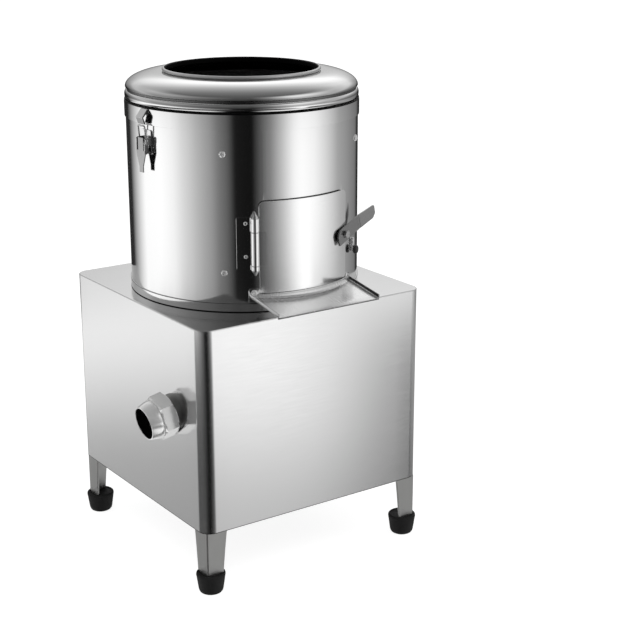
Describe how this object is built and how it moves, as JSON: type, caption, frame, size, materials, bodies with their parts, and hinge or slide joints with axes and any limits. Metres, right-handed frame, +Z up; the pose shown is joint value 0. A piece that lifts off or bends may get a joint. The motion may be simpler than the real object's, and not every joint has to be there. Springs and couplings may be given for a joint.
{
  "type": "electric potato peeler",
  "caption": "Floor-standing electric potato peeler: square cabinet on angle legs, round abrasive drum with open domed lid, hinged discharge door, chute and side drain.",
  "frame": {"origin": "on the floor, at the centre of the machine's outer box", "axes": "+Z up; -Y towards the door and chute; -X towards the drain"},
  "size_m": [0.5217, 0.513, 0.8503],
  "materials": {
    "satin_steel": "brushed stainless steel, satin",
    "polished_steel": "polished stainless steel",
    "frame_steel": "plain rolled stainless steel",
    "fastener_steel": "bright turned steel",
    "cast_housing": "painted casting",
    "abrasive": "bonded silicon carbide grit",
    "abrasive_disc": "cast disc coated with silicon carbide grit",
    "black_rubber": "matte black rubber",
    "motor_paint": "blue-grey enamel",
    "black_plastic": "moulded black plastic",
    "green_plastic": "moulded green plastic",
    "red_plastic": "moulded red plastic"
  },
  "bodies": {
    "machine": {"cabinet_shell": "satin_steel", "cabinet_top": "satin_steel", "base_frame": "frame_steel", "front_left_leg": "frame_steel", "front_right_leg": "frame_steel", "rear_right_leg": "frame_steel", "rear_left_leg": "frame_steel", "front_left_foot": "black_rubber", "front_right_foot": "black_rubber", "rear_right_foot": "black_rubber", "rear_left_foot": "black_rubber", "frame_bolts": "fastener_steel", "support_rails": "frame_steel", "drum_shell": "polished_steel", "drum_base_ring": "polished_steel", "abrasive_liner": "abrasive", "drum_screws": "fastener_steel", "waste_pan": "satin_steel", "bearing_housing": "cast_housing", "shaft_bearings": "fastener_steel", "shaft_seal": "black_rubber", "drive_belt": "black_rubber", "motor_bracket": "frame_steel", "motor_body": "motor_paint", "motor_fan_cover": "motor_paint", "terminal_box": "motor_paint", "drain_elbow": "frame_steel", "drain_nut": "polished_steel", "drain_nozzle": "polished_steel", "drum_hinge_leaf": "satin_steel", "hinge_pin": "fastener_steel", "latch_keeper": "fastener_steel", "keeper_knob": "black_plastic", "chute": "satin_steel", "toggle_bases": "satin_steel", "switch_plate": "satin_steel", "switch_box": "black_plastic", "cable_gland": "black_plastic"},
    "turntable_drive": {"turntable": "abrasive_disc", "turntable_nut": "fastener_steel", "main_shaft": "fastener_steel", "driven_pulley": "cast_housing"},
    "motor_rotor": {"motor_shaft": "fastener_steel", "motor_pulley": "cast_housing"},
    "door": {"door_panel": "satin_steel", "door_seal": "black_rubber", "door_plug": "abrasive", "door_hinge_leaf": "satin_steel", "latch_bolt": "fastener_steel"},
    "latch": {"latch_lever": "satin_steel"},
    "lid": {"lid_ring": "polished_steel", "lid_skirt": "polished_steel", "lid_seal": "black_rubber", "lid_catches": "polished_steel"},
    "left_toggle": {"left_toggle_lever": "satin_steel"},
    "right_toggle": {"right_toggle_lever": "satin_steel"},
    "left_bail": {"left_toggle_bail": "fastener_steel"},
    "right_bail": {"right_toggle_bail": "fastener_steel"},
    "start_key": {"start_button": "green_plastic"},
    "stop_key": {"stop_button": "red_plastic"}
  },
  "joints": [
    {"name": "turntable_spin", "type": "hinge", "parent": "machine", "child": "turntable_drive", "pos_m": [0.02487, 0.0075, 0.492], "axis": [0, 0, 1], "continuous": true},
    {"name": "motor_spin", "type": "hinge", "parent": "machine", "child": "motor_rotor", "pos_m": [0.12487, 0.1175, 0.15], "axis": [0, 0, 1], "continuous": true},
    {"name": "door_swing", "type": "hinge", "parent": "machine", "child": "door", "pos_m": [-0.07013, -0.1781, 0.542], "axis": [0, 0, -1], "range_deg": [0, 110]},
    {"name": "latch_turn", "type": "hinge", "parent": "door", "child": "latch", "pos_m": [0.10483, -0.18452, 0.581], "axis": [0.3844, -0.9232, 0], "range_deg": [-31, 50]},
    {"name": "lid_lift", "type": "slide", "parent": "machine", "child": "lid", "axis": [0, 0, 1], "range_m": [0, 0.12]},
    {"name": "left_toggle_turn", "type": "hinge", "parent": "machine", "child": "left_toggle", "pos_m": [-0.18299, -0.01435, 0.747], "axis": [-0.1045, 0.9945, 0], "range_deg": [0, 100]},
    {"name": "left_bail_turn", "type": "hinge", "parent": "left_toggle", "child": "left_bail", "pos_m": [-0.181, -0.01414, 0.734], "axis": [0.1045, -0.9945, 0], "range_deg": [0, 100]},
    {"name": "right_toggle_turn", "type": "hinge", "parent": "machine", "child": "right_toggle", "pos_m": [0.23272, -0.01435, 0.747], "axis": [-0.1045, -0.9945, 0], "range_deg": [0, 100]},
    {"name": "right_bail_turn", "type": "hinge", "parent": "right_toggle", "child": "right_bail", "pos_m": [0.23073, -0.01414, 0.734], "axis": [0.1045, 0.9945, 0], "range_deg": [0, 100]},
    {"name": "start_press", "type": "slide", "parent": "machine", "child": "start_key", "axis": [-1, 0, 0], "range_m": [0, 0.004], "stiffness_N_per_m": 500},
    {"name": "stop_press", "type": "slide", "parent": "machine", "child": "stop_key", "axis": [-1, 0, 0], "range_m": [0, 0.004], "stiffness_N_per_m": 500}
  ],
  "couplings": [
    {"joint": "motor_spin", "follows": "turntable_spin", "ratio": 2.8293},
    {"joint": "left_bail_turn", "follows": "left_toggle_turn", "ratio": 1},
    {"joint": "right_bail_turn", "follows": "right_toggle_turn", "ratio": 1}
  ]
}
